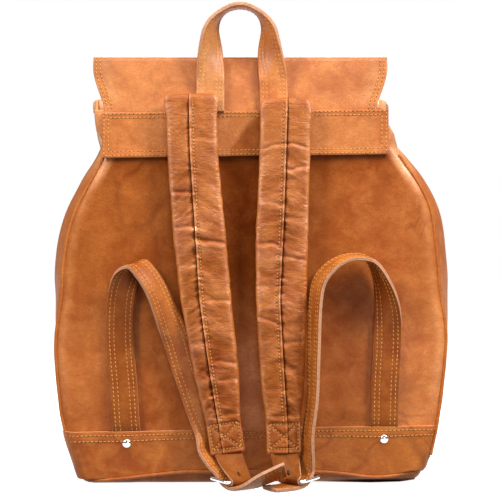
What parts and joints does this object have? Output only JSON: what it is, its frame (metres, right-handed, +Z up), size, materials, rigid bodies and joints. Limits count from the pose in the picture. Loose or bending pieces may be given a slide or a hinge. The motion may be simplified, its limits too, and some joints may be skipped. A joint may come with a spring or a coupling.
{
  "type": "leather backpack",
  "caption": "Upright leather backpack with a turn-over flap, carrying handle and two padded shoulder straps adjusted by buckles.",
  "frame": {"origin": "centre of the base on the surface it stands on", "axes": "+Z up; the shoulder straps are on the -Y side and the flap's closure on the +Y side; +X to the right when looking at the straps"},
  "size_m": [0.361, 0.2313, 0.433],
  "materials": {
    "leather": "waxed tan leather, soft sheen",
    "lining": "plain woven cotton",
    "board": "matt",
    "chrome": "polished"
  },
  "bodies": {
    "bag": {"back_panel": "leather", "front_panel": "leather", "gusset_left": "leather", "gusset_right": "leather", "base_panel": "leather", "base_board": "board", "lining": "lining", "mouth_binding": "leather", "bottom_band_back": "leather", "bottom_band_front": "leather", "bottom_band_left": "leather", "bottom_band_right": "leather", "top_band": "leather", "piping_back_left": "leather", "piping_back_right": "leather", "piping_front_left": "leather", "piping_front_right": "leather", "piping_base_back": "leather", "piping_base_front": "leather", "strap_rivets": "chrome", "snap_sockets": "chrome", "pocket_face": "leather", "pocket_gusset": "leather", "flap_rise": "leather", "handle_tabs": "leather", "shoulder_root_left": "leather", "shoulder_root_right": "leather"},
    "flap": {"flap_top": "leather", "flap_top_lining": "lining"},
    "flap_front": {"flap_front": "leather", "flap_front_lining": "lining", "closure_strap_left": "leather", "closure_strap_right": "leather", "closure_chape_left": "leather", "closure_chape_right": "leather", "closure_buckle_left": "chrome", "closure_buckle_right": "chrome", "closure_keeper_left": "leather", "closure_keeper_right": "leather", "closure_rivets": "chrome", "snap_studs": "chrome"},
    "handle": {"handle": "leather"},
    "shoulder_left": {"shoulder_pad_left": "leather", "pad_end_left": "leather", "tail_left": "leather", "adjuster_buckle_left": "chrome", "lower_strap_left": "leather"},
    "closure_prong_left": {"closure_prong_left": "chrome"},
    "adjuster_prong_left": {"adjuster_prong_left": "chrome"},
    "shoulder_right": {"shoulder_pad_right": "leather", "pad_end_right": "leather", "tail_right": "leather", "adjuster_buckle_right": "chrome", "lower_strap_right": "leather"},
    "closure_prong_right": {"closure_prong_right": "chrome"},
    "adjuster_prong_right": {"adjuster_prong_right": "chrome"}
  },
  "joints": [
    {"name": "flap_lift", "type": "hinge", "parent": "bag", "child": "flap", "pos_m": [0, -0.058, 0.384], "axis": [1, 0, 0], "range_deg": [0, 75]},
    {"name": "flap_fold", "type": "hinge", "parent": "flap", "child": "flap_front", "pos_m": [0, 0.054, 0.374], "axis": [1, 0, 0], "range_deg": [0, 75]},
    {"name": "handle_flop", "type": "hinge", "parent": "bag", "child": "handle", "pos_m": [0, -0.071, 0.357], "axis": [1, 0, 0], "range_deg": [0, 90]},
    {"name": "shoulder_swing_left", "type": "hinge", "parent": "bag", "child": "shoulder_left", "pos_m": [0, -0.08, 0.344], "axis": [-1, 0, 0], "range_deg": [0, 60], "deforming": ["lower_strap_left"]},
    {"name": "shoulder_swing_right", "type": "hinge", "parent": "bag", "child": "shoulder_right", "pos_m": [0, -0.08, 0.344], "axis": [-1, 0, 0], "range_deg": [0, 60], "deforming": ["lower_strap_right"]},
    {"name": "closure_prong_left", "type": "hinge", "parent": "flap_front", "child": "closure_prong_left", "pos_m": [-0.075, 0.09076, 0.17935], "axis": [-1, 0, 0], "range_deg": [0, 35]},
    {"name": "closure_prong_right", "type": "hinge", "parent": "flap_front", "child": "closure_prong_right", "pos_m": [0.057, 0.09076, 0.17935], "axis": [-1, 0, 0], "range_deg": [0, 35]},
    {"name": "adjuster_prong_left", "type": "hinge", "parent": "shoulder_left", "child": "adjuster_prong_left", "pos_m": [-0.01, -0.11, 0.0082], "axis": [-0.7071, -0.7071, 0], "range_deg": [0, 18]},
    {"name": "adjuster_prong_right", "type": "hinge", "parent": "shoulder_right", "child": "adjuster_prong_right", "pos_m": [0.034, -0.1035, 0.0082], "axis": [-0.7071, 0.7071, 0], "range_deg": [0, 18]}
  ],
  "couplings": [
    {"joint": "flap_fold", "follows": "flap_lift", "ratio": 1}
  ]
}
